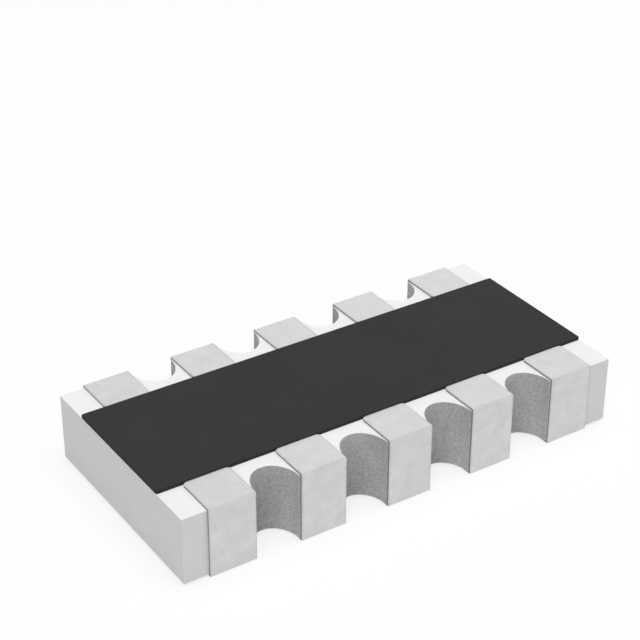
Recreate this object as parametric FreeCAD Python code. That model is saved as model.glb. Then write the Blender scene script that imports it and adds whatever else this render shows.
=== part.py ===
import FreeCAD, Part
import os

# Chip resistor network with ten wrap-round terminals: eight thick-film resistors, each between a terminal of
# its own and one common conductor, on a ceramic tile with a notch between every two terminals.
# Millimetres. The origin is on the seating plane under the tile's centre, +X runs along the tile, +Y across
# it, and +Z up through the coated face. Terminals are numbered anticlockwise as seen from above, beginning at
# the -X end of the -Y side. The part looks the same after half a turn about Z, inside too.

# Plan of the tile and its terminals
terminals_per_side = 5
pitch = 0.635
terminal_width = 0.32
tooth_margin = 0.008       # bare ceramic beside a terminal at a notch's mouth
end_margin = 0.17          # bare ceramic past the outer terminals
substrate_width = 1.556
substrate_thickness = 0.463
terminal_length = 0.294    # from the tile's side to a pad's inner end, above and below
notch_to_coat = 0.10       # bare ceramic between a notch's inner end and the coat
electrode_corner_radius = 0.021

# Layers
electrode_thickness = 0.006
nickel_thickness = 0.004
tin_thickness = 0.005
film_thickness = 0.006
glass_cover = 0.004        # over the film where it climbs on to a conductor
overcoat_cover = 0.006     # over the glass

# Printed pattern under the coat
neck_width = 0.24
film_width = 0.22
film_lap = 0.05            # of a film's end over a conductor
film_gap = 0.04            # between the ends of two films that share the bus
glass_margin = 0.015       # of the glass past the films
overcoat_margin = 0.025    # of the overcoat past the glass, along the long sides
overcoat_corner_radius = 0.015
overcoat_shoulder = 0.004  # where the print falls away at its edge

# Trim cuts: each resistor is cut in from one edge until its value is right, so what is left differs
uncut_widths = (0.12, 0.10, 0.13, 0.11)
kerf_width = 0.03
kerf_lead_in = 0.02        # the cut starts this far outside the film

# Sizes that follow
plating = nickel_thickness + tin_thickness
stack = electrode_thickness + plating
electrode_width = terminal_width - 2 * plating
tin_edge_radius = 1.8 * tin_thickness       # leaves two thirds of the tin on the nickel's square corner
substrate_length = (terminals_per_side - 1) * pitch + terminal_width + 2 * end_margin
notch_half = (pitch - terminal_width) / 2 - tooth_margin
notch_depth = terminal_length - notch_to_coat
side = substrate_width / 2
end = substrate_length / 2
coat_half = side - terminal_length
glass_half = coat_half - overcoat_margin
film_outer = glass_half - glass_margin
neck_end = film_outer - film_lap
bus_half = film_lap + film_gap / 2
underside = stack
surface = underside + substrate_thickness
conductor_top = surface + electrode_thickness
film_top = conductor_top + film_thickness
glass_top = film_top + glass_cover
overcoat_top = glass_top + overcoat_cover
row_half = (terminals_per_side - 1) / 2 * pitch
clear = pitch              # how far a cutting block reaches past what it cuts


def block(x, y, z):
    """A box from pairs of limits along each axis."""
    corner = FreeCAD.Vector(x[0], y[0], z[0])
    return Part.makeBox(x[1] - x[0], y[1] - y[0], z[1] - z[0], corner)


def about(centre, half):
    """Limits at the same distance on both sides of a centre."""
    return centre - half, centre + half


def edges_along(shape, direction, place):
    """The straight edges of shape that run along direction and whose middle passes the test place."""
    found = []
    for edge in shape.Edges:
        run = edge.Vertexes[-1].Point - edge.Vertexes[0].Point
        if run.Length > 0 and run.cross(direction).Length < 1e-9 and place(edge.CenterOfMass):
            found.append(edge)
    return found


def turned(shape):
    """The same piece at the opposite place: half a turn about Z."""
    copy = shape.copy()
    copy.rotate(FreeCAD.Vector(), FreeCAD.Vector(0, 0, 1), 180)
    return copy


def save(shape, node):
    shape.exportStep("parts/" + node + ".step")


def notch(x, toward):
    """Cutter for one notch: an upright prism on an oval punch hole that the tile's side cuts in half."""
    foot = FreeCAD.Vector(x, toward * side, underside - clear)
    half_axes = (FreeCAD.Vector(notch_half, 0, 0), FreeCAD.Vector(0, notch_depth, 0))
    minor, major = sorted(half_axes, key=lambda axis: axis.Length)
    oval = Part.Ellipse(foot + major, foot + minor, foot)
    height = FreeCAD.Vector(0, 0, substrate_thickness + 2 * clear)
    return Part.Face(Part.Wire(oval.toShape())).extrude(height)


def substrate():
    """The ceramic tile. The notches lie midway between terminals, so each terminal has a tooth to itself."""
    tile = block((-end, end), (-side, side), (underside, surface))
    places = [(k + 0.5) * pitch - row_half for k in range(terminals_per_side - 1)]
    return tile.cut([notch(x, toward) for x in places for toward in (-1, 1)])


def terminal_block(x, growth):
    """The space inside one near-side terminal, with its tooth, once growth of plating is on the electrodes.
    Its inner corners are round in plan."""
    inner = -(coat_half + plating - growth)
    outer = -(side + electrode_thickness + growth)
    low = underside - electrode_thickness - growth
    high = surface + electrode_thickness + growth
    shape = block(about(x, electrode_width / 2 + growth), (outer, inner), (low, high))
    inner_corners = edges_along(shape, FreeCAD.Vector(0, 0, 1), lambda p: p.y > (inner + outer) / 2)
    return shape.makeFillet(electrode_corner_radius + growth, inner_corners)


def tile_space():
    """The tile's full block, notches filled, with room past both ends for cutting the wrap-round shapes."""
    return block((-end - clear, end + clear), (-side, side), (underside, surface))


def neck(x, growth, inner):
    """The strip from a near-side pad in under the coat, as far as y = inner, with growth of plating on it."""
    outer = -(coat_half + plating + electrode_corner_radius)
    return block(about(x, neck_width / 2 + growth), (outer, inner), (surface, conductor_top + growth))


def electrodes(x):
    """The three electrodes of one near-side terminal: pad above, plate on the side, pad below."""
    metal = terminal_block(x, 0)
    across = about(x, terminal_width)
    top = metal.common(block(across, (-side, 0), (surface, surface + clear)))
    plate = metal.common(block(across, (-side - clear, -side), (underside - clear, surface + clear)))
    bottom = metal.common(block(across, (-side, 0), (underside - clear, underside)))
    return top, plate, bottom


def top_electrode(x):
    """A pad with its neck, which ends under the film."""
    return electrodes(x)[0].fuse(neck(x, 0, -neck_end)).removeSplitter()


def common_conductor(x):
    """The bus along the middle, in one piece with the pads of the last terminal on each side."""
    bus = block(about(0, row_half + neck_width / 2), (-bus_half, bus_half), (surface, conductor_top))
    arm = electrodes(x)[0].fuse(neck(x, 0, 0))
    return bus.fuse([arm, turned(arm)]).removeSplitter()


def nickel_barrier(x):
    """Nickel over the electrodes of one terminal, up to the coat where the neck goes under it."""
    covered = terminal_block(x, nickel_thickness).fuse(neck(x, nickel_thickness, -coat_half))
    return covered.cut([terminal_block(x, 0), neck(x, 0, 0), tile_space()]).removeSplitter()


def tin_plating(x):
    """Tin over the nickel of one terminal, its two long outer edges round."""
    skin = terminal_block(x, plating)
    outer_edges = edges_along(skin, FreeCAD.Vector(1, 0, 0), lambda p: p.y < -side)
    inside = [terminal_block(x, nickel_thickness), neck(x, nickel_thickness, 0), tile_space()]
    return skin.makeFillet(tin_edge_radius, outer_edges).cut(inside)


def kerf(x, uncut):
    """The trim cut of one near-side film, through film and glass, halfway along and square to its current."""
    middle = -(neck_end + bus_half) / 2
    left = x - film_width / 2 + uncut
    right = x + film_width / 2 + kerf_lead_in
    return block((left, right), about(middle, kerf_width / 2), (surface, glass_top))


def resistor_element(x, conductors, cut):
    """One film: flat on the ceramic, climbing on to its terminal's neck at one end and the bus at the other."""
    across = about(x, film_width / 2)
    run = (-film_outer, -film_gap / 2)
    flat = block(across, run, (surface, surface + film_thickness))
    outer_step = block(across, (run[0], -neck_end + film_thickness), (surface, film_top))
    inner_step = block(across, (-bus_half - film_thickness, run[1]), (surface, film_top))
    return flat.fuse([outer_step, inner_step]).cut(conductors + [cut]).removeSplitter()


def glass_coat(conductors, films, cuts):
    """The fired glass over the films, the bus and the inner ends of the necks."""
    length_half = row_half + neck_width / 2 + glass_margin
    sheet = block(about(0, length_half), (-glass_half, glass_half), (surface, glass_top))
    return sheet.cut(conductors + films + cuts).removeSplitter()


def overcoat(conductors, films, glass):
    """The dark coat from end to end of the tile. It also fills the trim cuts."""
    sheet = block((-end, end), (-coat_half, coat_half), (surface, overcoat_top))
    sheet = sheet.makeFillet(overcoat_corner_radius, edges_along(sheet, FreeCAD.Vector(0, 0, 1), lambda p: True))
    top_edges = [edge for edge in sheet.Edges if edge.CenterOfMass.z > overcoat_top - 1e-6]
    sheet = sheet.makeChamfer(overcoat_shoulder, top_edges)
    return sheet.cut(conductors + films + [glass]).removeSplitter()


os.makedirs("parts", exist_ok=True)
save(substrate(), "substrate")

# Terminals: each near-side one, and its twin at the opposite place
columns = [k * pitch - row_half for k in range(terminals_per_side)]
for k, x in enumerate(columns):
    top, plate, bottom = electrodes(x)
    layers = {
        "bottom_electrode": bottom,
        "side_electrode": plate,
        "nickel_barrier": nickel_barrier(x),
        "tin_plating": tin_plating(x),
    }
    for name, shape in layers.items():
        save(shape, f"{name}_{k + 1}")
        save(turned(shape), f"{name}_{k + 1 + terminals_per_side}")

# Circuit: the last terminal of each side is common, and the others each feed one resistor
common = common_conductor(columns[-1])
save(common, "common_conductor")
conductors, films, cuts = [common], [], []
for k, x in enumerate(columns[:-1]):
    pad = top_electrode(x)
    cut = kerf(x, uncut_widths[k % len(uncut_widths)])
    film = resistor_element(x, [common, pad], cut)
    save(pad, f"top_electrode_{k + 1}")
    save(turned(pad), f"top_electrode_{k + 1 + terminals_per_side}")
    save(film, f"resistor_element_{k + 1}")
    save(turned(film), f"resistor_element_{k + 1 + terminals_per_side}")
    conductors += [pad, turned(pad)]
    films += [film, turned(film)]
    cuts += [cut, turned(cut)]

glass = glass_coat(conductors, films, cuts)
save(glass, "glass_coat")
save(overcoat(conductors, films, glass), "overcoat")
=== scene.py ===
import math

import bpy
import numpy as np
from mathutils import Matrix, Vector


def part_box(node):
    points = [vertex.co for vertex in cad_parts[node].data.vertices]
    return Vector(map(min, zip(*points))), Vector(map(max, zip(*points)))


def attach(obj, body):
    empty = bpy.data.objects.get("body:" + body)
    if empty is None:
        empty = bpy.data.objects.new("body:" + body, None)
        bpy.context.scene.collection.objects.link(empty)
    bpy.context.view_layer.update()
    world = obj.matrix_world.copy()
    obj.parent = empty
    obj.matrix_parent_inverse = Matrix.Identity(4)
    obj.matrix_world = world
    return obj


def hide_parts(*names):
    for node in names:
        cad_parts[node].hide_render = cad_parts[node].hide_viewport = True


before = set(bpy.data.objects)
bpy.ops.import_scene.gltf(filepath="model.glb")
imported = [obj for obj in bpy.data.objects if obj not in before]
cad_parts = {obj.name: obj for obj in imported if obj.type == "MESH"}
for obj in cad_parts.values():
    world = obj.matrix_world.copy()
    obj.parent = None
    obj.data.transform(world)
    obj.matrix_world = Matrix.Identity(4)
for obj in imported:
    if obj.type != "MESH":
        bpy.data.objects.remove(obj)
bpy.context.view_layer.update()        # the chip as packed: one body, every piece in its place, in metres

# The tile: 96 percent alumina, punched while soft, fired white and snapped from its sheet.
# Eight notches, each half of an oval hole, part the ten terminals, and every other piece is printed or
# plated on it.
mm = 0.001
per_side = 5                    # terminals along each long side
tile_low, tile_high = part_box("substrate")
first_low, first_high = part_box("tin_plating_1")
second_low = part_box("tin_plating_2")[0]
pitch = second_low.x - first_low.x
terminal_columns = [(first_low.x + first_high.x) / 2 + k * pitch for k in range(per_side)]
tooth_margin = 0.008 * mm       # bare tile beside a terminal at a notch's mouth
notch_half = (second_low.x - first_high.x) / 2 - tooth_margin
notch_depth = 0.194 * mm
notch_steps = 64
tile_corner = 0.004 * mm        # the snapped corners and the notch mouths, seen from above
corner_steps = 4
tile_edge = 0.003 * mm          # the edges of both faces, rounded by tumbling
edge_turn = np.radians(np.linspace(0, 90, 4))      # the way round such an edge, in three steps


def corner_columns(centre, start, punched):
    """A quarter circle of the outline, seen from above, from the start angle on. Each column has its place,
    its outward normal, and 1 if it was punched or 0 if it was snapped."""
    angles = np.radians(start + np.linspace(0, 90, corner_steps + 1))
    out = np.column_stack([np.cos(angles), np.sin(angles)])
    return np.column_stack([centre + tile_corner * out, out, np.full(len(out), punched)])


def notch_columns(x):
    """Half an oval of the outline from its left mouth to its right: the cosine times the half width and the
    sine times the depth. The gradient of the oval gives the normal, which points into the notch."""
    mouth = math.asin(tile_corner / notch_depth)
    angles = np.linspace(math.pi - mouth, mouth, notch_steps + 1)
    c, s = np.cos(angles), np.sin(angles)
    out = -np.column_stack([c / notch_half, s / notch_depth])
    out /= np.linalg.norm(out, axis=1, keepdims=True)
    return np.column_stack([x + notch_half * c, notch_depth * s - tile_high.y, out, np.ones(len(out))])


def tile_outline():
    """The tile's outline, anticlockwise: along the near side each notch is a mouth corner, half an oval and a
    mouth corner, and the far side is the near side turned by half a turn."""
    end = tile_high.x - tile_corner
    low = tile_corner - tile_high.y
    shoulder = notch_half + tile_corner
    row = [corner_columns((-end, low), 180, 0)]
    for left in terminal_columns[:-1]:
        x = left + pitch / 2
        row += [
            corner_columns((x - shoulder, low), 270, 1),
            notch_columns(x),
            corner_columns((x + shoulder, low), 180, 1),
        ]
    row.append(corner_columns((end, low), 270, 0))
    near = np.vstack(row)
    return np.vstack([near, near * [-1, -1, -1, -1, 1]])


def tile_surface():
    """Points and normals of the tile's wall, and which columns were punched. A point lies at its column,
    moved back along the column's normal by the inset. The section runs from the top face round a quarter
    circle, down the wall and round a quarter circle on to the underside."""
    place, out, punched = np.split(tile_outline(), [2, 4], axis=1)
    sine, cosine = np.sin(edge_turn), np.cos(edge_turn)
    inset = tile_edge * np.concatenate([1 - sine, 1 - cosine])
    height = np.concatenate([tile_high.z - tile_edge * (1 - cosine), tile_low.z + tile_edge * (1 - sine)])
    level = np.concatenate([sine, cosine])       # how far the normal lies level
    rise = np.concatenate([cosine, -sine])
    shape = (len(height), len(place), 1)
    plan = place - inset[:, None, None] * out
    points = np.concatenate([plan, np.broadcast_to(height[:, None, None], shape)], axis=-1)
    upright = np.broadcast_to(rise[:, None, None], shape)
    normals = np.concatenate([level[:, None, None] * out, upright], axis=-1)
    return points, normals, punched[:, 0]


def ring_faces(stages, columns):
    """Quads of a closed band: each stage of the section is a ring of columns, and rings follow downwards."""
    i, j = np.meshgrid(np.arange(stages - 1), np.arange(columns), indexing="ij")
    here = i * columns + j
    beside = i * columns + (j + 1) % columns
    corners = np.stack([here, here + columns, beside + columns, beside], axis=-1)
    return corners.reshape(-1, 4).tolist()


def surface_piece(name, points, normals, faces, finishes, finish_of_face):
    """A finished piece from its points, the true normal at each, its faces and each face's finish."""
    mesh = bpy.data.meshes.new(name)
    mesh.from_pydata(points.reshape(-1, 3).tolist(), [], faces)
    mesh.polygons.foreach_set("use_smooth", np.ones(len(faces), bool))
    mesh.polygons.foreach_set("material_index", finish_of_face)
    for finish in finishes:
        mesh.materials.append(finish)
    mesh.normals_split_custom_set_from_vertices(normals.reshape(-1, 3).tolist())
    piece = bpy.data.objects.new(name, mesh)
    bpy.context.scene.collection.objects.link(piece)
    return piece


def linear(colour):
    """An sRGB hex colour as linear red, green, blue and alpha: over 12.92 in the toe, else power 2.4."""
    srgb = np.array([int(colour[i:i + 2], 16) for i in (1, 3, 5)]) / 255
    values = np.where(srgb <= 0.04045, srgb / 12.92, ((srgb + 0.055) / 1.055) ** 2.4)
    return (*values.tolist(), 1.0)


def new_finish(name, **fixed):
    """A material with one Principled shader, whose constant values are set on its own sockets."""
    finish = bpy.data.materials.new(name)
    finish.use_nodes = True
    shader = finish.node_tree.nodes["Principled BSDF"]
    for socket, value in fixed.items():
        shader.inputs[socket.replace("_", " ")].default_value = value
    return finish, finish.node_tree, shader


def add(tree, kind, inputs, **settings):
    """Adds a node to the tree. inputs gives sockets their values or the sockets that feed them."""
    made = tree.nodes.new(kind)
    for name, value in settings.items():
        setattr(made, name, value)
    for socket, value in inputs.items():
        if isinstance(value, bpy.types.NodeSocket):
            tree.links.new(value, made.inputs[socket])
        else:
            made.inputs[socket].default_value = value
    return made


def mottle(tree, shader, light, dark, fine, coarse, coarse_share):
    """Colours a finish by the mix of a fine and a coarse noise, each given by its size and its detail. The
    mix seldom leaves its middle two fifths, so they run from dark to light. Returns both noises' values."""
    place = add(tree, "ShaderNodeTexCoord", {}).outputs["Object"]
    fine_noise, coarse_noise = [
        add(tree, "ShaderNodeTexNoise", {"Vector": place, "Scale": 1 / size, "Detail": detail}).outputs["Fac"]
        for size, detail in (fine, coarse)
    ]
    both = add(tree, "ShaderNodeMix", {"Factor": coarse_share, "A": fine_noise, "B": coarse_noise})
    spread = add(
        tree, "ShaderNodeMapRange", {"Value": both.outputs["Result"], "From Min": 0.3, "From Max": 0.7}
    )
    tones = {"Factor": spread.outputs["Result"], "A": linear(dark), "B": linear(light)}
    colour = add(tree, "ShaderNodeMix", tones, data_type="RGBA")
    tree.links.new(colour.outputs["Result"], shader.inputs["Base Color"])
    return fine_noise, coarse_noise


def fired_alumina(name, light, dark, grain_size, relief):
    """Alumina as fired, matt and white: crystals a few micrometres wide give a faint fleck. They are too fine
    to show, so the fleck is drawn at the given grain size, over slow shading from the sheet's casting."""
    casting_cloud = 0.35 * mm
    finish, tree, shader = new_finish(name, Roughness=0.62, IOR=1.6, Specular_IOR_Level=0.35)
    fleck, _ = mottle(
        tree, shader, light, dark, fine=(grain_size, 3.0), coarse=(casting_cloud, 2.0), coarse_share=0.3
    )
    bump = add(tree, "ShaderNodeBump", {"Strength": 0.35, "Distance": relief, "Height": fleck})
    tree.links.new(bump.outputs["Normal"], shader.inputs["Normal"])
    return finish


points, normals, punched = tile_surface()
stages, columns = points.shape[:2]
rings = ring_faces(stages, columns)
# The top face runs along the first ring, and the underside back along the last
caps = [list(range(columns)), list(range(stages * columns))[:-columns - 1:-1]]
# A wall face is punched where both its columns are, and the tool leaves it rough and speckled.
# Its greyer colour is painted shade in the notch's hollow.
between_punched = (punched * np.roll(punched, -1)).astype(int)
finish_of_face = np.append(np.tile(between_punched, stages - 1), [0, 0])
alumina = fired_alumina("alumina_as_fired", "#F7F7F6", "#EFEFEE", 0.012 * mm, 0.0004 * mm)
# The punched walls are a darker copy of the alumina: painted shade in the notches.
punched_alumina_painted_shade = fired_alumina("alumina_punched_wall_painted_shade", "#D8D8D8", "#A8A8A8", 0.016 * mm, 0.004 * mm)
tile = surface_piece(
    "ceramic_tile", points, normals, rings + caps, [alumina, punched_alumina_painted_shade], finish_of_face
)
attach(tile, "root")
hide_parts("substrate")


# The electrodes printed on the tile: silver paste below and silver-palladium paste above, screened and fired.
# The upper pads run in under the coat, and the last pad of each side is one print with the bus between them.
def pebbled_film(name, light, dark, **fixed):
    """A film a few micrometres thick: what it lies on and its own grains leave a faint pebble, which is drawn
    here at 20 micrometres."""
    pebble_size, relief = 0.02 * mm, 0.001 * mm
    finish, tree, shader = new_finish(name, **fixed)
    place = add(tree, "ShaderNodeTexCoord", {}).outputs["Object"]
    pebble = add(tree, "ShaderNodeTexNoise", {"Vector": place, "Scale": 1 / pebble_size, "Detail": 4.0})
    tones = {"Factor": pebble.outputs["Fac"], "A": linear(dark), "B": linear(light)}
    colour = add(tree, "ShaderNodeMix", tones, data_type="RGBA")
    tree.links.new(colour.outputs["Result"], shader.inputs["Base Color"])
    bump = add(
        tree, "ShaderNodeBump", {"Strength": 0.5, "Distance": relief, "Height": pebble.outputs["Fac"]}
    )
    tree.links.new(bump.outputs["Normal"], shader.inputs["Normal"])
    return finish


def dress(names, finish):
    """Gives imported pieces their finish."""
    for name in names:
        for material_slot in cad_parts[name].material_slots:
            material_slot.material = finish


terminals = range(1, 2 * per_side + 1)
elements = [k for k in terminals if k % per_side]       # the last terminal of each side has none
silver_palladium = pebbled_film("silver_palladium_film", "#D6D2CA", "#BDB8AF", Metallic=1.0, Roughness=0.55)
silver = pebbled_film("silver_film", "#DCDAD5", "#C6C3BC", Metallic=1.0, Roughness=0.5)
dress(["common_conductor"] + [f"top_electrode_{k}" for k in elements], silver_palladium)
dress([f"bottom_electrode_{k}" for k in terminals], silver)


# The eight resistors: ruthenium oxide in glass, screened across a neck and the bus and fired dark and shiny.
# A cut through each, burnt by a laser until its value is right, leaves a narrower path.
ruthenium_film = pebbled_film("ruthenium_oxide_film", "#26272B", "#17181A", Roughness=0.28, IOR=1.6)
dress([f"resistor_element_{k}" for k in elements], ruthenium_film)


# The first cover: a thin green-tinted glass, screened over the resistors and fired before they are trimmed.
# It shields them while the laser cuts, and the cuts go through it too.
fired_glass = pebbled_film(
    "fired_cover_glass", "#B9D3C4", "#A3C2B1", Roughness=0.18, IOR=1.52, Transmission_Weight=0.6
)
dress(["glass_coat"], fired_glass)


# The dark coat: filled epoxy, screened over everything between the two rows of pads and cured.
# It is matt and even, with the fine fleck of its filler, and it ends flush with the tile's snapped ends.
def cured_coat():
    """Filled epoxy: the filler's grains are a few micrometres, drawn at 14 so that they show as a fleck,
    over slow shading from the print."""
    filler_grain, print_cloud, relief = 0.014 * mm, 0.5 * mm, 0.001 * mm
    finish, tree, shader = new_finish("filled_epoxy_coat", Roughness=0.75, IOR=1.5, Specular_IOR_Level=0.2)
    light, dark = "#323232", "#262626"
    filler, _ = mottle(
        tree, shader, light, dark, fine=(filler_grain, 3.0), coarse=(print_cloud, 2.0), coarse_share=0.35
    )
    bump = add(tree, "ShaderNodeBump", {"Strength": 0.4, "Distance": relief, "Height": filler})
    tree.links.new(bump.outputs["Normal"], shader.inputs["Normal"])
    return finish


dress(["overcoat"], cured_coat())


# The side electrodes: a nickel-chromium film on the tile's sides, laid down once the sheet is snapped into
# strips. It joins each upper pad to the lower one.
nickel_chromium = pebbled_film("nickel_chromium_film", "#A9A6A0", "#8F8C86", Metallic=1.0, Roughness=0.5)
dress([f"side_electrode_{k}" for k in terminals], nickel_chromium)


# The nickel barriers: plated over all three electrodes of a terminal so that solder can't eat the silver.
# They are satin and slightly yellow.
nickel = pebbled_film("satin_nickel_plating", "#C3BCAD", "#AFA899", Metallic=1.0, Roughness=0.4)
dress([f"nickel_barrier_{k}" for k in terminals], nickel)


# The tin platings: the matt outer skin of each terminal, wrapped over the top, side and underside of a tooth.
# Its sheet is pale and slightly clouded; a narrow border is darker with painted shade, and the edge where the
# plating stops is grey with painted shade.
skin = 0.005 * mm               # the tin itself, over nickel and electrode
paste = 0.006 * mm              # an electrode
pad_corner = 0.030 * mm         # a pad's inner corners, seen from above
border = 0.009 * mm             # the strip along the sheet's outline, darkened with painted shade
tin_edge = 0.003 * mm           # the rounded rim of the sheet
nickel_edge = 0.0005 * mm       # the nickel under it has almost square bends
neck_half = 0.124 * mm          # the opening in the inner end of the upper leg, where the nickel goes through
neck_edge = 0.001 * mm          # the ends of that opening
lip = 0.0002 * mm               # how far the sheet hangs below its inner face there
upper_leg, upper_bend, lower_bend, lower_leg, neck_opening = range(5)       # the places along the sheet
pad_corner_steps = 9
bend_steps = 8


def skin_columns():
    """The outline of one terminal's sheet laid flat, anticlockwise from outside, and how many columns one
    flank of it has. A column has its place along the sheet, its angle round that corner or bend, its side
    across and 1 if it is over the nickel of the neck."""
    corner = np.radians(np.linspace(0, 90, pad_corner_steps + 1))
    bend = np.radians(np.linspace(0, 90, bend_steps + 1))
    flank = [(upper_leg, a, -1, 0) for a in corner] + [(upper_bend, a, -1, 0) for a in bend]
    flank += [(lower_bend, a, -1, 0) for a in bend] + [(lower_leg, a, -1, 0) for a in corner[::-1]]
    back = [(place, a, 1, 0) for place, a, _, _ in reversed(flank)]
    opening = [(neck_opening, 0, side, over) for side, over in ((1, 0), (1, 1), (-1, 1), (-1, 0))]
    return np.array(flank + back + opening), len(flank)


sheet_columns, flank_count = skin_columns()


def terminal_skin(x):
    """Points and normals of one near-side terminal. A column's point at an inset and a height over the
    ceramic lies on the upper leg, round the bend at the tile's upper edge, round the one at its lower edge,
    or on the lower leg. The section runs from the border's inner side out to the rim, round it and down to
    the ceramic, in by the skin's thickness and up again to the sheet's inner face."""
    place, angle, across, neck = sheet_columns.T
    at_upper, at_lower, at_neck = place == upper_bend, place == lower_bend, place == neck_opening
    at_bend = at_upper | at_lower
    sine, cosine = np.sin(angle), np.cos(angle)
    rim_sine, rim_cosine = np.sin(edge_turn), np.cos(edge_turn)
    half = (first_high.x - first_low.x) / 2
    thick = first_high.z - tile_high.z
    hollow = thick - skin
    inset = np.concatenate([[border], tin_edge * (1 - rim_sine), [0, skin, skin]])
    height = np.concatenate([[thick], thick - tin_edge * (1 - rim_cosine), [0, 0, hollow]])
    height = np.maximum(height[:, None], neck * (hollow - lip))
    inset = np.broadcast_to(inset[:, None], height.shape)
    level = np.concatenate([[0], rim_sine, [1, -1, -1]])[:, None]
    rise = np.concatenate([[1], rim_cosine, [0, 0, 0]])[:, None]
    # The plan of the legs: round inner corners, then straight flanks
    reach = pad_corner - inset
    along = np.where(at_neck, inset, pad_corner - reach * cosine)
    flank_way = across * (half - pad_corner + reach * sine)
    side_way = np.where(at_neck, across * (neck_half - neck * neck_edge), flank_way)
    side_way = np.where(at_bend, across * (half - inset), side_way)
    # The bends: round the tile's tumbled edges, the nickel's almost square ones and the tin's round ones
    radius = np.interp(height, [0, hollow, thick], [tile_edge, nickel_edge, thick - paste])
    arm = -(tile_high.y + height - radius)
    y = np.select([at_upper, at_lower], [arm - radius * sine, arm - radius * cosine], first_high.y - along)
    z = np.select(
        [at_upper, at_lower, place == lower_leg],
        [
            tile_high.z + height - radius + radius * cosine,
            tile_low.z - height + radius - radius * sine,
            tile_low.z - height,
        ],
        tile_high.z + height,
    )
    points = np.stack([x + side_way, y, z], axis=-1)
    # Normals: level ones point out of the outline, rising ones away from the ceramic
    out_x = np.where(at_bend, across, np.where(at_neck, 0, across * sine))
    out_y = np.where(at_bend, 0, np.where(at_neck, 1, cosine))
    up_y = np.select([at_upper, at_lower], [-sine, -cosine], 0)
    up_z = np.select([at_upper, at_lower, place == lower_leg], [cosine, -sine, -1], 1)
    normals = np.stack([level * out_x, level * out_y + rise * up_y, rise * up_z + 0 * level], axis=-1)
    return points, normals


def sheet_faces(stages, columns):
    """The outer and inner faces of the sheet: ladders from flank to flank, whose first rung takes in the
    opening. The inner one is the outer one turned over."""
    outer = []
    for j in range(flank_count - 1):
        k = 2 * flank_count - 1 - j
        outer.append([j, j + 1, k - 1, k])
    outer[0] += range(2 * flank_count, columns)
    last = (stages - 1) * columns
    return outer + [[last + v for v in reversed(face)] for face in outer]


def matt_tin(name, light, dark):
    """Matt tin: grains of about 5 micrometres, drawn at 10, scatter the light, and handling leaves soft
    clouds 0.1 mm wide, the paler the duller. Roughness runs with the cloud from 0.5 to 0.7."""
    grain_size, cloud_size, relief = 0.010 * mm, 0.09 * mm, 0.0006 * mm
    finish, tree, shader = new_finish(name, Metallic=1.0)
    grain, cloud = mottle(
        tree, shader, light, dark, fine=(grain_size, 2.0), coarse=(cloud_size, 5.0), coarse_share=0.6
    )
    dull = add(tree, "ShaderNodeMapRange", {"Value": cloud, "To Min": 0.5, "To Max": 0.7})
    tree.links.new(dull.outputs["Result"], shader.inputs["Roughness"])
    bump = add(tree, "ShaderNodeBump", {"Strength": 0.4, "Distance": relief, "Height": grain})
    tree.links.new(bump.outputs["Normal"], shader.inputs["Normal"])
    return finish


tin = matt_tin("matt_tin_plating", "#DDDDDD", "#C9C9C9")
# The border's darker tin is painted shade along each pad's outline.
tin_border_painted_shade = matt_tin("matt_tin_border_painted_shade", "#D2D2D2", "#BEBEBE")
# The grey of the plating's edge is painted shade on the pads' shaded sides.
tin_side_painted_shade = pebbled_film("tin_plating_edge_painted_shade", "#9C9A98", "#888684", Roughness=0.6)
half_turn = np.array([-1, -1, 1])       # from a near-side terminal to its twin on the far side
for number in terminals:
    points, normals = terminal_skin(terminal_columns[(number - 1) % per_side])
    if number > per_side:
        points, normals = points * half_turn, normals * half_turn
    stages, columns = points.shape[:2]
    band, sheets = ring_faces(stages, columns), sheet_faces(stages, columns)
    # Down the section: border painted shade, rim plain tin, edge and what is behind it grey painted shade
    strips = np.repeat([1, 0, 2], [1, len(edge_turn) - 1, stages - 1 - len(edge_turn)])
    finish_of_face = np.append(np.repeat(strips, columns), np.zeros(len(sheets), int))
    piece = surface_piece(
        f"tin_skin_{number}", points, normals, band + sheets, [tin, tin_border_painted_shade, tin_side_painted_shade], finish_of_face
    )
    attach(piece, "root")
    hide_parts(f"tin_plating_{number}")


# The floor the chip stands on: plain, pale and even. To the camera and to shiny surfaces it is mostly white
# by itself, and the rest of its light comes from the lamps, so that it keeps the chip's soft shadow.
own_white = 0.75                # the share of the floor's white that needs no lamp
floor_half = 400 * mm           # half of its side
floor_level = -0.0005 * mm      # just clear of the terminals' undersides


def seen_rays(tree):
    """One for camera, glossy and transmitted rays, which show the stage itself, and zero for the rest."""
    rays = add(tree, "ShaderNodeLightPath", {}).outputs
    seen = rays["Is Camera Ray"]
    for kind in ("Is Glossy Ray", "Is Transmission Ray"):
        seen = add(tree, "ShaderNodeMath", {0: seen, 1: rays[kind]}, operation="MAXIMUM").outputs["Value"]
    return seen


def pale_floor():
    """White for the rays that show the stage, part of it by itself and part of it lit, and grey for the rest.
    Its own white isn't taken for a lamp, so it lights nothing and glossy rays see all of it."""
    finish, tree, shader = new_finish("pale_floor", Roughness=0.9, Specular_IOR_Level=0.0)
    seen = seen_rays(tree)
    tones = {"Factor": seen, "A": linear("#CFCFCF"), "B": linear("#FFFFFF")}
    colour = add(tree, "ShaderNodeMix", tones, data_type="RGBA")
    tree.links.new(colour.outputs["Result"], shader.inputs["Base Color"])
    share = add(tree, "ShaderNodeMath", {0: seen, 1: own_white}, operation="MULTIPLY").outputs["Value"]
    white = add(tree, "ShaderNodeEmission", {"Color": linear("#FFFFFF"), "Strength": 1.0})
    parts = {0: share, 1: shader.outputs["BSDF"], 2: white.outputs["Emission"]}
    look = add(tree, "ShaderNodeMixShader", parts)
    tree.links.new(look.outputs["Shader"], tree.nodes["Material Output"].inputs["Surface"])
    finish.cycles.emission_sampling = "NONE"
    return finish


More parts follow.
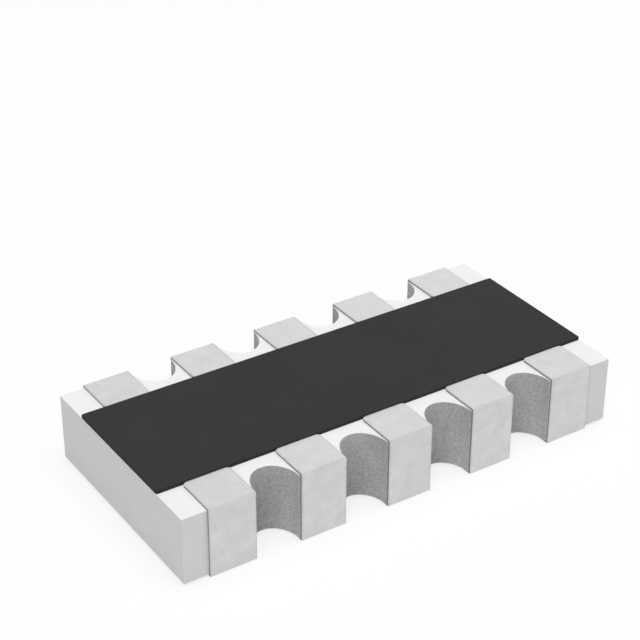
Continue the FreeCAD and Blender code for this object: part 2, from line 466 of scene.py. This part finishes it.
corners = [(x * floor_half, y * floor_half, floor_level) for x, y in ((-1, -1), (1, -1), (1, 1), (-1, 1))]
floor_mesh = bpy.data.meshes.new("floor")
floor_mesh.from_pydata(corners, [], [(0, 1, 2, 3)])
floor_mesh.materials.append(pale_floor())
floor = bpy.data.objects.new("floor", floor_mesh)
bpy.context.scene.collection.objects.link(floor)


# The light: a pale room that shows white in the camera and in shiny surfaces but lights little, one broad
# soft lamp overhead, and weaker ones from the left, the right and behind the chip's far right end.
room_light = 0.10               # of the room on what isn't shiny
world = bpy.data.worlds.new("white_room")
world.use_nodes = True
world.cycles.sampling_method = "NONE"
bpy.context.scene.world = world
room = world.node_tree
strength = add(room, "ShaderNodeMapRange", {"Value": seen_rays(room), "To Min": room_light, "To Max": 1.0})
room.nodes["Background"].inputs["Color"].default_value = linear("#FFFFFF")
room.links.new(strength.outputs["Result"], room.nodes["Background"].inputs["Strength"])


def soft_lamp(name, azimuth, elevation, size, level, in_gloss):
    """A square lamp 60 mm off that faces the chip. level is how brightly it lights white that faces it, which
    takes a power of pi squared times the squared distance. in_gloss says whether shiny surfaces show it."""
    distance = 60 * mm
    lamp = bpy.data.lights.new(name, "AREA")
    lamp.shape = "SQUARE"
    lamp.size = size
    lamp.energy = (math.pi * distance) ** 2 * level
    holder = bpy.data.objects.new(name, lamp)
    around, up = math.radians(azimuth), math.radians(elevation)
    away = (math.sin(around) * math.cos(up), -math.cos(around) * math.cos(up), math.sin(up))
    holder.location = [distance * v for v in away]
    holder.rotation_euler = (-holder.location).to_track_quat("-Z", "Y").to_euler()
    holder.visible_glossy = in_gloss
    bpy.context.scene.collection.objects.link(holder)


soft_lamp("overhead_lamp", azimuth=0, elevation=88, size=60 * mm, level=0.94, in_gloss=False)
soft_lamp("left_lamp", azimuth=-50, elevation=25, size=30 * mm, level=0.22, in_gloss=False)
soft_lamp("right_lamp", azimuth=60, elevation=25, size=40 * mm, level=0.16, in_gloss=False)
soft_lamp("back_lamp", azimuth=140, elevation=28, size=30 * mm, level=0.05, in_gloss=True)


# The camera: where the photograph was taken from, 33 degrees round from the tile's near side and 30 above it.
# It looks at the far row of pads from about 12 mm off.
lens_pixels = 1773.4
picture_pixels = 640
camera = bpy.data.cameras.new("camera")
camera.sensor_width = 36
camera.lens = lens_pixels / picture_pixels * camera.sensor_width
camera.clip_start = 0.1 * mm
camera.clip_end = 2000 * mm
viewer = bpy.data.objects.new("camera", camera)
azimuth, elevation, roll = math.radians(33.251), math.radians(30.359), math.radians(-0.099)
viewer.location = (-5.3988 * mm, -7.9909 * mm, 6.5503 * mm)
viewer.rotation_euler = (math.pi / 2 - elevation, roll, -azimuth)
bpy.context.scene.collection.objects.link(viewer)
bpy.context.scene.camera = viewer

bpy.context.scene.view_settings.view_transform = "Standard"
